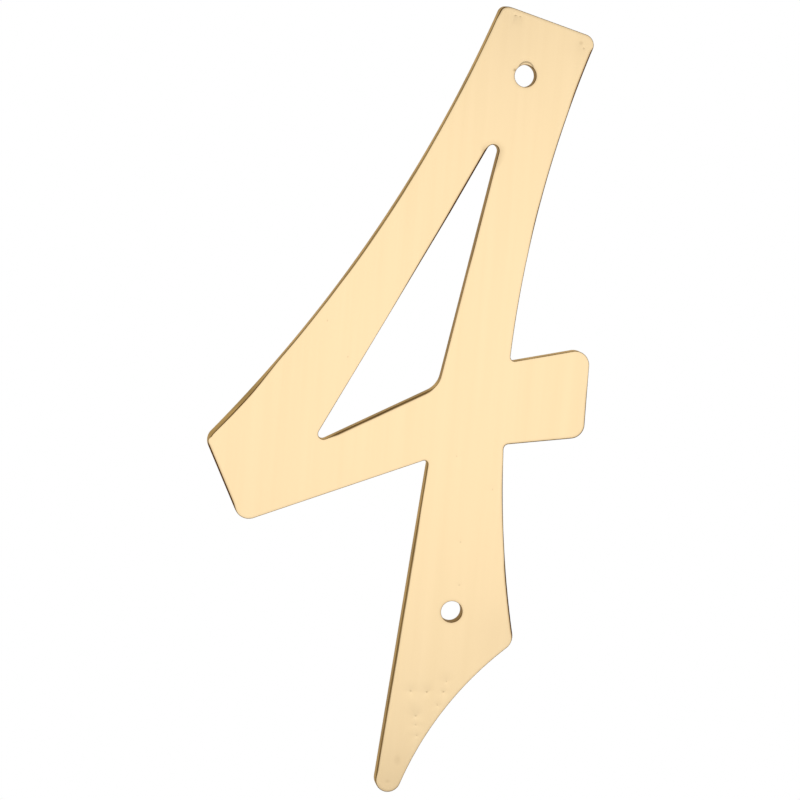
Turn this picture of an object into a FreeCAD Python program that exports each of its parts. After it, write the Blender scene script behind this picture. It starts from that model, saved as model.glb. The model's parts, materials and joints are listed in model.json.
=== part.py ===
"""Door number: the figure four, blanked from one flat brass plate and fixed by two screws.

The upper screw hole is the datum. Every corner is set out from its centre, so far to the left or
right of it and so far above or below it, as it is marked out on the door. Lengths are millimetres.
X runs to the right, Z runs up, the back of the plate lies on Y = 0 and the front faces -Y.
"""
import FreeCAD, Part
import math
import os
import Sketcher

SIZES = {
    "plate_thickness": 2.4,
    "front_edge_roll": 0.3,
    "screw_hole_diameter": 4.2,
    "hole_edge_roll": 0.15,
    "lower_hole_left": 14.0,
    "lower_hole_down": 103.5,
    # Stem: its top edge, and the hollow right edge down to the crossbar
    "stem_top_left_left": 4.45,
    "stem_top_left_up": 13.5,
    "stem_top_left_round": 1.5,
    "stem_top_right_right": 14.0,
    "stem_top_right_up": 7.05,
    "stem_top_right_round": 2.1,
    "stem_edge_radius": 218.0,
    # Crossbar: the two inside corners where it leaves the stem, and its outer end
    "bar_root_upper_left": 2.7,
    "bar_root_upper_down": 54.75,
    "bar_root_upper_round": 0.85,
    "bar_end_upper_right": 13.25,
    "bar_end_upper_down": 52.35,
    "bar_end_lower_right": 12.05,
    "bar_end_lower_down": 69.8,
    "bar_end_round": 2.8,
    "bar_root_lower_left": 3.8,
    "bar_root_lower_down": 70.85,
    "bar_root_lower_round": 1.0,
    # Leg: the hollow right edge, the heel, and the tail with its round tip
    "leg_edge_radius": 210.0,
    "leg_heel_left": 1.6,
    "leg_heel_down": 110.15,
    "leg_heel_round": 3.1,
    "tail_edge_radius": 65.0,
    "tail_tip_left": 26.55,
    "tail_tip_down": 136.6,
    "tail_tip_radius": 2.5,
    "leg_root_left": 18.6,
    "leg_root_down": 73.25,
    "leg_root_round": 0.7,
    # Arm: the slanted foot at its left end, and the long hollow edge up to the stem
    "arm_foot_lower_left": 55.05,
    "arm_foot_lower_down": 84.6,
    "arm_foot_lower_round": 2.8,
    "arm_foot_upper_left": 61.6,
    "arm_foot_upper_down": 68.2,
    "arm_foot_upper_round": 2.6,
    "arm_edge_radius": 265.0,
    # Counter: the opening between arm, stem and foot. Its long side bends out towards the top,
    # where the narrow end was dressed wider
    "counter_top_left": 3.05,
    "counter_top_down": 6.55,
    "counter_top_round": 1.15,
    "counter_heel_left": 16.6,
    "counter_heel_down": 59.15,
    "counter_heel_round": 4.4,
    "counter_toe_left": 41.65,
    "counter_toe_down": 70.2,
    "counter_toe_round": 1.05,
    "counter_side_left": 14.35,
    "counter_side_down": 25.7,
    # Deburring cut that ran off centre on the upper screw hole
    "burr_cut_diameter": 3.2,
    "burr_cut_floor_diameter": 2.8,
    "burr_cut_depth": 0.3,
    "burr_cut_right": 0.12,
    "burr_cut_up": 1.3,
}

# Corners of the outline, clockwise from the upper corner of the foot:
# name, the two sizes that place it, and the size of its rounding, or None where it is a slight
# bend that isn't rounded
OUTLINE_CORNERS = [
    ("arm_foot_upper", "arm_foot_upper_left", "arm_foot_upper_down", "arm_foot_upper_round"),
    ("stem_top_left", "stem_top_left_left", "stem_top_left_up", "stem_top_left_round"),
    ("stem_top_right", "stem_top_right_right", "stem_top_right_up", "stem_top_right_round"),
    ("bar_root_upper", "bar_root_upper_left", "bar_root_upper_down", "bar_root_upper_round"),
    ("bar_end_upper", "bar_end_upper_right", "bar_end_upper_down", "bar_end_round"),
    ("bar_end_lower", "bar_end_lower_right", "bar_end_lower_down", "bar_end_round"),
    ("bar_root_lower", "bar_root_lower_left", "bar_root_lower_down", "bar_root_lower_round"),
    ("leg_heel", "leg_heel_left", "leg_heel_down", "leg_heel_round"),
    ("leg_root", "leg_root_left", "leg_root_down", "leg_root_round"),
    ("arm_foot_lower", "arm_foot_lower_left", "arm_foot_lower_down", "arm_foot_lower_round"),
]

# Edges that are hollow arcs, by the corner that each one starts from, and their radius
HOLLOW_EDGES = {
    "arm_foot_upper": "arm_edge_radius",
    "stem_top_right": "stem_edge_radius",
    "bar_root_lower": "leg_edge_radius",
}

COUNTER_CORNERS = [
    ("counter_top", "counter_top_left", "counter_top_down", "counter_top_round"),
    ("counter_heel", "counter_heel_left", "counter_heel_down", "counter_heel_round"),
    ("counter_toe", "counter_toe_left", "counter_toe_down", "counter_toe_round"),
    ("counter_side", "counter_side_left", "counter_side_down", None),
]

START, END, CENTRE = 1, 2, 3     # which point of a sketched edge a constraint means
ORIGIN = (-1, 1)                 # the sketch's own origin, as a constraint names it
NORMAL = FreeCAD.Vector(0, 0, 1)
TOLERANCE = 1e-4


def point(across, along):
    """Where two sizes put a point of a sketch: right and up count positive."""
    x = SIZES[across] if across.endswith("_right") else -SIZES[across]
    z = SIZES[along] if along.endswith("_up") else -SIZES[along]
    return FreeCAD.Vector(x, z, 0)


def make_sheet(doc):
    """Spreadsheet with one row for each driving dimension."""
    sheet = doc.addObject("Spreadsheet::Sheet", "sizes")
    for row, (name, value) in enumerate(SIZES.items(), start=1):
        sheet.set("A%d" % row, name)
        sheet.set("B%d" % row, str(value))
        sheet.setAlias("B%d" % row, name)
    doc.recompute()
    return sheet


def origin_plane(body, role):
    """One of the body's own origin planes."""
    return next(item for item in body.Origin.OriginFeatures if item.Role == role)


def add_sketch(body, name):
    """Empty sketch on the back of the plate; its X and Y are the part's X and Z."""
    sketch = body.newObject("Sketcher::SketchObject", name)
    sketch.AttachmentSupport = [(origin_plane(body, "XZ_Plane"), "")]
    sketch.MapMode = "FlatFace"
    return sketch


def bind(sketch, name, kind, refs, size):
    """Driving constraint, named, that takes its value from the sheet."""
    index = sketch.addConstraint(Sketcher.Constraint(kind, *refs, SIZES[size]))
    sketch.renameConstraint(index, name)
    sketch.setExpression("Constraints." + name, "sizes." + size)


def place_point(sketch, name, ref, across, along):
    """Set a point out from the datum hole by one size across and one size up or down."""
    for kind, size, positive in (("DistanceX", across, "_right"), ("DistanceY", along, "_up")):
        refs = ORIGIN + ref if size.endswith(positive) else ref + ORIGIN
        bind(sketch, "%s_%s" % (name, kind[-1].lower()), kind, refs, size)


def hollow_arc(first, last, radius):
    """Arc from first to last, walked with the plate on the right, that hollows the plate."""
    chord = last - first
    rise = math.sqrt(radius ** 2 - (chord.Length / 2) ** 2)
    left = FreeCAD.Vector(-chord.y, chord.x, 0).normalize()
    return arc_about(first + chord / 2 + left * rise, first, last, radius)


def arc_about(centre, first, last, radius):
    """Arc about a centre, counter-clockwise from first to last."""
    begin = math.atan2(first.y - centre.y, first.x - centre.x)
    finish = math.atan2(last.y - centre.y, last.x - centre.x)
    if finish < begin:
        finish += 2 * math.pi
    return Part.ArcOfCircle(Part.Circle(centre, NORMAL, radius), begin, finish)


def tail_points():
    """Tip centre of the tail, and where the leg's line and the hollow edge touch the tip."""
    centre = point("tail_tip_left", "tail_tip_down")
    radius = SIZES["tail_tip_radius"]
    edge = SIZES["tail_edge_radius"]
    # Seen from the tip's centre, the touching point of the tangent from the leg's root stands off
    # the root's direction by the angle whose cosine is the tip's radius over their distance
    to_root = point("leg_root_left", "leg_root_down") - centre
    angle = math.atan2(to_root.y, to_root.x) + math.acos(radius / to_root.Length)
    on_line = centre + radius * FreeCAD.Vector(math.cos(angle), math.sin(angle), 0)
    # The hollow edge's centre lies one radius from the heel and both radii from the tip's centre
    heel = point("leg_heel_left", "leg_heel_down")
    span = centre - heel
    along = (span.Length ** 2 + edge ** 2 - (edge + radius) ** 2) / (2 * span.Length)
    across = math.sqrt(edge ** 2 - along ** 2)
    forward = FreeCAD.Vector(span).normalize()
    edge_centre = heel + forward * along + FreeCAD.Vector(-forward.y, forward.x, 0) * across
    outwards = (edge_centre - centre).normalize()
    return centre, on_line, centre + outwards * radius, edge_centre


def outline_edges():
    """Edges of the outline, clockwise, and the place in the list that each corner starts."""
    tip, on_line, on_arc, edge_centre = tail_points()
    places = {name: point(across, along) for name, across, along, _ in OUTLINE_CORNERS}
    names = [corner[0] for corner in OUTLINE_CORNERS]
    edges = []
    starts = {}
    for name, following in zip(names, names[1:] + names[:1]):
        starts[name] = len(edges)
        first = places[name]
        last = places[following]
        if name == "leg_heel":
            edges.append(arc_about(edge_centre, first, on_arc, SIZES["tail_edge_radius"]))
            edges.append(arc_about(tip, on_line, on_arc, SIZES["tail_tip_radius"]))
            edges.append(Part.LineSegment(on_line, last))
        elif name in HOLLOW_EDGES:
            edges.append(hollow_arc(first, last, SIZES[HOLLOW_EDGES[name]]))
        else:
            edges.append(Part.LineSegment(first, last))
    return edges, starts


def draw_outline(body):
    """Outline of the figure, sharp at its corners and round at the tip of its tail."""
    sketch = add_sketch(body, "outline_sketch")
    edges, starts = outline_edges()
    sketch.addGeometry(edges, False)
    tail_edge = starts["leg_heel"]
    tip = tail_edge + 1
    for index in range(len(edges)):
        if index not in (tail_edge, tip):
            following = (index + 1) % len(edges)
            sketch.addConstraint(Sketcher.Constraint("Coincident", index, END, following, START))
    sketch.addConstraint(Sketcher.Constraint("Tangent", tail_edge, END, tip, END))
    sketch.addConstraint(Sketcher.Constraint("Tangent", tip, START, tip + 1, START))
    for name, across, along, _ in OUTLINE_CORNERS:
        place_point(sketch, name, (starts[name], START), across, along)
    for name, size in HOLLOW_EDGES.items():
        bind(sketch, size, "Radius", (starts[name],), size)
    place_point(sketch, "tail_tip", (tip, CENTRE), "tail_tip_left", "tail_tip_down")
    bind(sketch, "tail_tip_radius", "Radius", (tip,), "tail_tip_radius")
    bind(sketch, "tail_edge_radius", "Radius", (tail_edge,), "tail_edge_radius")
    return sketch


def draw_counter(body):
    """Three-cornered opening of the figure, with a slight bend in its long side."""
    sketch = add_sketch(body, "counter_sketch")
    places = [point(across, along) for _, across, along, _ in COUNTER_CORNERS]
    count = len(places)
    for index in range(count):
        sketch.addGeometry(Part.LineSegment(places[index], places[(index + 1) % count]), False)
    for index, (name, across, along, _) in enumerate(COUNTER_CORNERS):
        following = (index + 1) % count
        sketch.addConstraint(Sketcher.Constraint("Coincident", index, END, following, START))
        place_point(sketch, name, (index, START), across, along)
    return sketch


def draw_holes(body):
    """The two screw holes, the upper one on the datum."""
    sketch = add_sketch(body, "holes_sketch")
    radius = SIZES["screw_hole_diameter"] / 2
    lower = point("lower_hole_left", "lower_hole_down")
    sketch.addGeometry(Part.Circle(FreeCAD.Vector(), NORMAL, radius), False)
    sketch.addGeometry(Part.Circle(lower, NORMAL, radius), False)
    sketch.addConstraint(Sketcher.Constraint("Coincident", 0, CENTRE, *ORIGIN))
    sketch.addConstraint(Sketcher.Constraint("Equal", 0, 1))
    place_point(sketch, "lower_hole", (1, CENTRE), "lower_hole_left", "lower_hole_down")
    bind(sketch, "screw_hole_diameter", "Diameter", (0,), "screw_hole_diameter")
    return sketch


def finish_feature(doc, body, before):
    """Recompute, and stop if the last feature failed or left the solid as it was."""
    doc.recompute()
    feature = body.Tip
    if "Invalid" in feature.State or "Error" in feature.State:
        raise RuntimeError("%s failed" % feature.Name)
    if abs(feature.Shape.Volume - before) < TOLERANCE:
        raise RuntimeError("%s changed nothing" % feature.Name)
    return feature


def pad_plate(doc, body, sketch):
    """Plate of the outline, from its back on Y = 0 towards the front."""
    pad = body.newObject("PartDesign::Pad", "plate")
    pad.Profile = sketch
    pad.setExpression("Length", "sizes.plate_thickness")
    return finish_feature(doc, body, 0.0)


def cut_through(doc, body, sketch, name):
    """Opening right through the plate, cut from its back towards the front."""
    before = body.Tip.Shape.Volume
    pocket = body.newObject("PartDesign::Pocket", name)
    pocket.Profile = sketch
    pocket.Type = "ThroughAll"
    pocket.Reversed = True
    return finish_feature(doc, body, before)


def upright_edge(shape, place):
    """Name of the edge that runs through the plate's thickness at a corner."""
    for number, edge in enumerate(shape.Edges, start=1):
        spots = [vertex.Point for vertex in edge.Vertexes]
        close = all(abs(s.x - place.x) < TOLERANCE and abs(s.z - place.y) < TOLERANCE for s in spots)
        if close and len(spots) == 2:
            return "Edge%d" % number
    raise RuntimeError("no corner at %s" % place)


def round_corner(doc, body, name, place, size):
    """Round one corner of the outline or the counter."""
    base = body.Tip
    fillet = body.newObject("PartDesign::Fillet", name + "_rounding")
    fillet.Base = (base, [upright_edge(base.Shape, place)])
    fillet.setExpression("Radius", "sizes." + size)
    finish_feature(doc, body, base.Shape.Volume)


def front_rims(shape, round_holes):
    """Names of the front edges: those of the screw holes, or all the others."""
    front = -SIZES["plate_thickness"]
    names = []
    for number, edge in enumerate(shape.Edges, start=1):
        box = edge.BoundBox
        on_front = abs(box.YMin - front) < TOLERANCE and abs(box.YMax - front) < TOLERANCE
        if on_front and is_hole_rim(edge) == round_holes:
            names.append("Edge%d" % number)
    return names


def is_hole_rim(edge):
    """Whether an edge is the circle, or a piece of the circle, of a screw hole."""
    curve = edge.Curve
    if not isinstance(curve, Part.Circle):
        return False
    if abs(curve.Radius - SIZES["screw_hole_diameter"] / 2) > TOLERANCE:
        return False
    lower = point("lower_hole_left", "lower_hole_down")
    centres = [FreeCAD.Vector(), FreeCAD.Vector(lower.x, 0, lower.y)]
    spot = FreeCAD.Vector(curve.Center.x, 0, curve.Center.z)
    return any((spot - centre).Length < TOLERANCE for centre in centres)


def roll_rims(doc, body, name, round_holes, size):
    """Rounded front rim, as blanking and polishing leave it."""
    base = body.Tip
    fillet = body.newObject("PartDesign::Fillet", name)
    fillet.Base = (base, front_rims(base.Shape, round_holes))
    fillet.setExpression("Radius", "sizes." + size)
    finish_feature(doc, body, base.Shape.Volume)


def cut_burr(doc, body):
    """Shallow cone beside the upper screw hole's axis, which leaves a crescent on its rim."""
    before = body.Tip.Shape.Volume
    cone = body.newObject("PartDesign::SubtractiveCone", "burr_cut")
    cone.AttachmentSupport = [(origin_plane(body, "XZ_Plane"), "")]
    cone.MapMode = "FlatFace"
    cone.setExpression("Radius1", "sizes.burr_cut_floor_diameter / 2")
    cone.setExpression("Radius2", "sizes.burr_cut_diameter / 2")
    cone.setExpression("Height", "sizes.burr_cut_depth")
    cone.setExpression("AttachmentOffset.Base.x", "sizes.burr_cut_right")
    cone.setExpression("AttachmentOffset.Base.y", "sizes.burr_cut_up")
    cone.setExpression("AttachmentOffset.Base.z", "sizes.plate_thickness - sizes.burr_cut_depth")
    return finish_feature(doc, body, before)


def build_numeral(doc):
    """The figure four as one body."""
    body = doc.addObject("PartDesign::Body", "numeral_four")
    body.Label = "numeral_four"
    pad_plate(doc, body, draw_outline(body))
    cut_through(doc, body, draw_counter(body), "counter")
    for name, across, along, size in OUTLINE_CORNERS + COUNTER_CORNERS:
        if size:
            round_corner(doc, body, name, point(across, along), size)
    roll_rims(doc, body, "front_rim", False, "front_edge_roll")
    cut_through(doc, body, draw_holes(body), "screw_holes")
    roll_rims(doc, body, "screw_hole_rims", True, "hole_edge_roll")
    cut_burr(doc, body)
    body.Placement = FreeCAD.Placement()
    doc.recompute()
    return body


def check_document(doc, bodies):
    """Stop if any object failed, a sketch is loose or a body isn't one sound solid."""
    for item in doc.Objects:
        if "Invalid" in item.State or "Error" in item.State:
            raise RuntimeError("%s failed" % item.Name)
        if item.TypeId == "Sketcher::SketchObject" and not item.FullyConstrained:
            raise RuntimeError("%s isn't fully constrained" % item.Name)
    for body in bodies:
        shape = body.Shape
        if shape.isNull() or not shape.isValid() or len(shape.Solids) != 1:
            raise RuntimeError("%s isn't one sound solid" % body.Label)


def main():
    """Build the door number and write its one part."""
    doc = FreeCAD.newDocument("door_number")
    make_sheet(doc)
    bodies = [build_numeral(doc)]
    check_document(doc, bodies)
    os.makedirs("parts", exist_ok=True)
    for body in bodies:
        body.Shape.exportStep("parts/%s.step" % body.Label)
        box = body.Shape.optimalBoundingBox(False, False)
        print("%s: %.2f x %.2f x %.2f mm, %.1f mm3" % (
            body.Label, box.XLength, box.YLength, box.ZLength, body.Shape.Volume))


main()
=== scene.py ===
"""Door number, the figure four in brass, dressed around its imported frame.

The figure is one plate, blanked from sheet, with its front brushed and its rim polished over by
hand. Its outline and its counter are read from the back edge of the frame's own node. The rim, the
mouths of the screw holes and the dents are surfaces worked out with numpy, and the two faces are
triangulated between them. Lengths are metres unless a name says mm. X runs to the right, Z runs up,
the back lies on Y = 0 and the front faces -Y.
"""
import json
import logging
import math
from dataclasses import dataclass, field
from enum import IntEnum
from typing import Any

import bpy
import numpy as np
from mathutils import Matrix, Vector
from mathutils.geometry import delaunay_2d_cdt


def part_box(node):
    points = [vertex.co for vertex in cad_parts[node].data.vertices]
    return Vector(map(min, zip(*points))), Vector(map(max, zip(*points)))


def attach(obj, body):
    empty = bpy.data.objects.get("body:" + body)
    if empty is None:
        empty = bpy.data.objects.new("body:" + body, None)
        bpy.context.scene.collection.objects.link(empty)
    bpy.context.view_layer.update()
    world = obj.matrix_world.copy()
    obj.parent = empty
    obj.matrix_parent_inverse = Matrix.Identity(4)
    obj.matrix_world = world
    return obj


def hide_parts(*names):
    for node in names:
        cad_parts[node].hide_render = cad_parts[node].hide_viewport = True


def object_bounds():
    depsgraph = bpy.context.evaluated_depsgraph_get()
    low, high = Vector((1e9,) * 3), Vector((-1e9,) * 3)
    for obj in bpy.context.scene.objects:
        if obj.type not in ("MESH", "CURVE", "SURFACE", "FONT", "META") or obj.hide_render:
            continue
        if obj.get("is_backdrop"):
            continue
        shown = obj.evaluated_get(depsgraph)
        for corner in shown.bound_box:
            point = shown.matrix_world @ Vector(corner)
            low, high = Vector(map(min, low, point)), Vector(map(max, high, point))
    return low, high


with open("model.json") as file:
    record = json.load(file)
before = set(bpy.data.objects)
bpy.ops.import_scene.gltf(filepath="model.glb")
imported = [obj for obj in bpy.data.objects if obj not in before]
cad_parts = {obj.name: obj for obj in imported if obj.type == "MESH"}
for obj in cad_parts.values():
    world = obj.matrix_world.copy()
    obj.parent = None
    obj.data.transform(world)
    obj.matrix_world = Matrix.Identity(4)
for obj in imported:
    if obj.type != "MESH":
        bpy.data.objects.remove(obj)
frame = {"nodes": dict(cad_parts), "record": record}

LOG = logging.getLogger("door_number")
MM = 0.001
# Brown that tarnish and painted shade multiply the clean metal's colour by
TARNISH_AND_SHADE_BROWN = "80622E"
# Numbers of a Mix node's two colours and of the mixed colour that it gives
MIX_FIRST, MIX_SECOND, MIX_RESULT = 6, 7, 2
# Share by which two chords of one arc may differ in length
SAME_ARC = 2e-3
# Bend in radians below which a chord is drawn as a straight line
STRAIGHT = 1e-5
# Share of the loose points' spacing that they keep from the edges of a face
CLEAR_OF_EDGE = 0.4
# Distance in metres at which the triangulation takes two points for one
SAME_POINT = 1e-9
# Share of the plate's thickness past which a vertex counts as part of the front
FRONT_FROM = 0.9


class Zone(IntEnum):
    """Part of the plate's skin that has a finish of its own, and its material slot."""

    FACE = 0
    EDGE = 1
    BACK = 2


def srgb(code: str) -> tuple[float, float, float, float]:
    """Turn an sRGB hex colour into linear RGBA.

    Args:
        code: six hex digits.

    Returns:
        Linear red, green and blue, and an alpha of 1.
    """
    parts = [int(code[place:place + 2], 16) / 255 for place in (0, 2, 4)]
    red, green, blue = (c / 12.92 if c <= 0.04045 else ((c + 0.055) / 1.055) ** 2.4 for c in parts)
    return red, green, blue, 1.0


def add_node(tree: bpy.types.NodeTree, kind: str, inputs: dict[Any, Any] | None = None,
             **settings: Any) -> bpy.types.Node:
    """Add a node with its settings, and set or link its inputs.

    Args:
        tree: the node tree that takes it.
        kind: the node's type name.
        inputs: input name or number to a value, or to an output socket that it links from.
        settings: properties of the node itself.

    Returns:
        The new node.
    """
    node = tree.nodes.new(kind)
    for name, value in settings.items():
        setattr(node, name, value)
    for name, value in (inputs or {}).items():
        if isinstance(value, bpy.types.NodeSocket):
            tree.links.new(value, node.inputs[name])
        else:
            node.inputs[name].default_value = value
    return node


def new_material(name: str) -> tuple[bpy.types.Material, bpy.types.NodeTree]:
    """Make an empty node material.

    Args:
        name: what the finish is.

    Returns:
        The material and its tree.
    """
    material = bpy.data.materials.new(name)
    material.use_nodes = True
    material.node_tree.nodes.clear()
    return material, material.node_tree


def darkened_by_tarnish_and_shade(tree: bpy.types.NodeTree, colour: bpy.types.NodeSocket) -> bpy.types.NodeSocket:
    """Stain a colour brown by the mesh's tarnish attribute, from 0 for clean to 1 for dark, which
    holds painted shade of the rolled corners and the figure's ends as well as real tarnish.

    Args:
        tree: the material's tree.
        colour: the clean metal's colour.

    Returns:
        The colour, darkened by tarnish and by painted shade.
    """
    share = add_node(tree, "ShaderNodeAttribute", attribute_name="tarnish_and_shade").outputs["Fac"]
    mixed = add_node(tree, "ShaderNodeMix", {
        "Factor": share, MIX_FIRST: colour, MIX_SECOND: srgb(TARNISH_AND_SHADE_BROWN)},
        data_type="RGBA", blend_type="MULTIPLY")
    return mixed.outputs[MIX_RESULT]


@dataclass(frozen=True)
class BrushedBrass:
    """Cartridge brass sheet, brushed on an abrasive belt that ran along the figure.

    The belt leaves fine scratches that lie nearly upright, so the face is satin: it spreads a
    light sideways more than up and down, and shows no sharp reflection. Real scratches are about
    0.05 mm apart, too fine to show here, so the grain is drawn as coarse as it needs to show.

    Attributes:
        colour, tint: the metal's colour, and that of the bands that run through it.
        grain_width_mm, grain_length_mm: size of a scratch.
        band_width_mm, band_length_mm: size of the broad streaks that the belt leaves.
        grain_lean_degrees: how far the brushing leans from upright.
        streaks_low, streaks_high: sum of both noises that is smoothest, and that is roughest.
        roughness_swing: how far the streaks change the roughness either way.
    """

    colour: str = "FAE0B4"
    tint: str = "F5DAAC"
    roughness: float = 0.36
    anisotropy: float = 0.45
    grain_width_mm: float = 0.22
    grain_length_mm: float = 26.0
    band_width_mm: float = 2.4
    band_length_mm: float = 90.0
    grain_lean_degrees: float = 4.5
    grain_depth_mm: float = 0.00022
    streaks_low: float = 0.6
    streaks_high: float = 1.4
    roughness_swing: float = 0.012

    def material(self) -> bpy.types.Material:
        """Build the brushed finish from streaks on Object coordinates.

        Returns:
            The material.
        """
        material, tree = new_material("brushed_brass")
        place = add_node(tree, "ShaderNodeTexCoord").outputs["Object"]
        grain = self._streaks(tree, place, self.grain_width_mm, self.grain_length_mm)
        band = self._streaks(tree, place, self.band_width_mm, self.band_length_mm)
        both = add_node(tree, "ShaderNodeMath", {0: grain, 1: band}, operation="ADD").outputs[0]
        rough = add_node(tree, "ShaderNodeMapRange", {
            "Value": both, "From Min": self.streaks_low, "From Max": self.streaks_high,
            "To Min": self.roughness - self.roughness_swing,
            "To Max": self.roughness + self.roughness_swing}).outputs[0]
        colour = add_node(tree, "ShaderNodeMix", {
            "Factor": band, MIX_FIRST: srgb(self.colour), MIX_SECOND: srgb(self.tint)},
            data_type="RGBA").outputs[MIX_RESULT]
        colour = darkened_by_tarnish_and_shade(tree, colour)
        bump = add_node(tree, "ShaderNodeBump", {
            "Height": grain, "Strength": 1.0, "Distance": self.grain_depth_mm * MM}).outputs[0]
        along = add_node(tree, "ShaderNodeTangent", direction_type="UV_MAP",
                         uv_map="grain").outputs[0]
        brass = add_node(tree, "ShaderNodeBsdfPrincipled", {
            "Base Color": colour, "Metallic": 1.0, "Roughness": rough, "Normal": bump,
            "Anisotropic": self.anisotropy, "Anisotropic Rotation": 0.0, "Tangent": along})
        add_node(tree, "ShaderNodeOutputMaterial", {"Surface": brass.outputs[0]})
        return material

    def _streaks(self, tree: bpy.types.NodeTree, place: bpy.types.NodeSocket, width_mm: float,
                 length_mm: float) -> bpy.types.NodeSocket:
        """Draw noise out along the brushing.

        Args:
            tree: the material's tree.
            place: the place on the plate.
            width_mm: size of a streak across the brushing.
            length_mm: size of a streak along it.

        Returns:
            The noise, from 0 to 1.
        """
        across = 1 / (width_mm * MM)
        along = 1 / (length_mm * MM)
        turned = add_node(tree, "ShaderNodeMapping", {
            "Vector": place, "Rotation": (0.0, math.radians(-self.grain_lean_degrees), 0.0)})
        drawn = add_node(tree, "ShaderNodeMapping", {
            "Vector": turned.outputs[0], "Scale": (across, across, along)})
        noise = add_node(tree, "ShaderNodeTexNoise", {
            "Vector": drawn.outputs[0], "Scale": 1.0, "Detail": 3.0, "Roughness": 0.6})
        return noise.outputs["Fac"]


@dataclass(frozen=True)
class BlankedBrass:
    """The plate's cut edge, as the press blanked it and polishing broke its front corner.

    The punch leaves a burnished band next to the front and a torn, greyer one next to the back,
    both scored across the plate's thickness. The corner itself took lacquer and tarnish, and its
    band is the dark line around the figure, darkened further with painted shade where the rolled
    corner turns from the light. The bands lie across the edge: its wall runs from 0 at the back to
    a half, and its rolled corner from there to 1 at the front.

    Attributes:
        torn, burnished, corner, face: colours of the bands, from the back to the front; the
            corner's
        is darkened with painted shade as well as tarnish.
        glancing: colour that the metal takes on where it is seen at a flat angle.
        torn_to, burnished_from, burnished_to: where the bands of the wall end and start.
        corner_from, corner_to: where the corner's band starts and ends.
        score_width_mm, score_depth_mm: size of the scores of the punch.
        score_rows, patch_rows: how many scores and patches lie across the edge.
        patch_length_mm: length of the lighter and darker patches along the edge.
        patch_dark, patch_light: what the darkest and the lightest patch multiply the colour by.
    """

    torn: str = "C5A671"
    burnished: str = "C8A76A"
    corner: str = "B0905A"
    face: str = "FAE0B4"
    glancing: str = "F6E6CC"
    torn_to: float = 0.14
    burnished_from: float = 0.28
    burnished_to: float = 0.50
    corner_from: float = 0.56
    corner_to: float = 0.82
    roughness: float = 0.45
    score_width_mm: float = 0.3
    score_depth_mm: float = 0.004
    score_rows: float = 1.5
    patch_length_mm: float = 7.0
    patch_rows: float = 3.0
    patch_dark: float = 0.75
    patch_light: float = 1.2

    def material(self) -> bpy.types.Material:
        """Build the cut finish on the rim's own map: run along it, and place across it.

        Returns:
            The material.
        """
        material, tree = new_material("blanked_brass_edge")
        spot = add_node(tree, "ShaderNodeUVMap", uv_map="grain").outputs[0]
        across = add_node(tree, "ShaderNodeSeparateXYZ", {0: spot}).outputs[1]
        ramp = add_node(tree, "ShaderNodeValToRGB", {"Fac": across})
        stops = ramp.color_ramp.elements
        stops[0].position = self.torn_to
        stops[0].color = srgb(self.torn)
        stops[1].position = self.burnished_from
        stops[1].color = srgb(self.burnished)
        # The corner's darker colour is painted shade of the rolled corner, on top of its tarnish
        for position, code in ((self.burnished_to, self.burnished), (self.corner_from, self.corner),
                               (self.corner_to, self.corner), (1.0, self.face)):
            stops.new(position).color = srgb(code)
        scores = add_node(tree, "ShaderNodeMapping", {
            "Vector": spot, "Scale": (1 / (self.score_width_mm * MM), self.score_rows, 1.0)})
        score = add_node(tree, "ShaderNodeTexNoise", {
            "Vector": scores.outputs[0], "Scale": 1.0, "Detail": 2.0}).outputs["Fac"]
        patches = add_node(tree, "ShaderNodeMapping", {
            "Vector": spot, "Scale": (1 / (self.patch_length_mm * MM), self.patch_rows, 1.0)})
        patch = add_node(tree, "ShaderNodeTexNoise", {
            "Vector": patches.outputs[0], "Scale": 1.0, "Detail": 2.0}).outputs["Fac"]
        shade = add_node(tree, "ShaderNodeMapRange", {
            "Value": patch, "From Min": 0.3, "From Max": 0.7,
            "To Min": self.patch_dark, "To Max": self.patch_light}).outputs[0]
        colour = add_node(tree, "ShaderNodeVectorMath", {0: ramp.outputs[0], 1: shade},
                          operation="MULTIPLY").outputs[0]
        colour = darkened_by_tarnish_and_shade(tree, colour)
        bump = add_node(tree, "ShaderNodeBump", {
            "Height": score, "Strength": 1.0, "Distance": self.score_depth_mm * MM}).outputs[0]
        brass = add_node(tree, "ShaderNodeBsdfPrincipled", {
            "Base Color": colour, "Metallic": 1.0, "Roughness": self.roughness, "Normal": bump,
            "Specular Tint": srgb(self.glancing)})
        add_node(tree, "ShaderNodeOutputMaterial", {"Surface": brass.outputs[0]})
        return material


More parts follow.
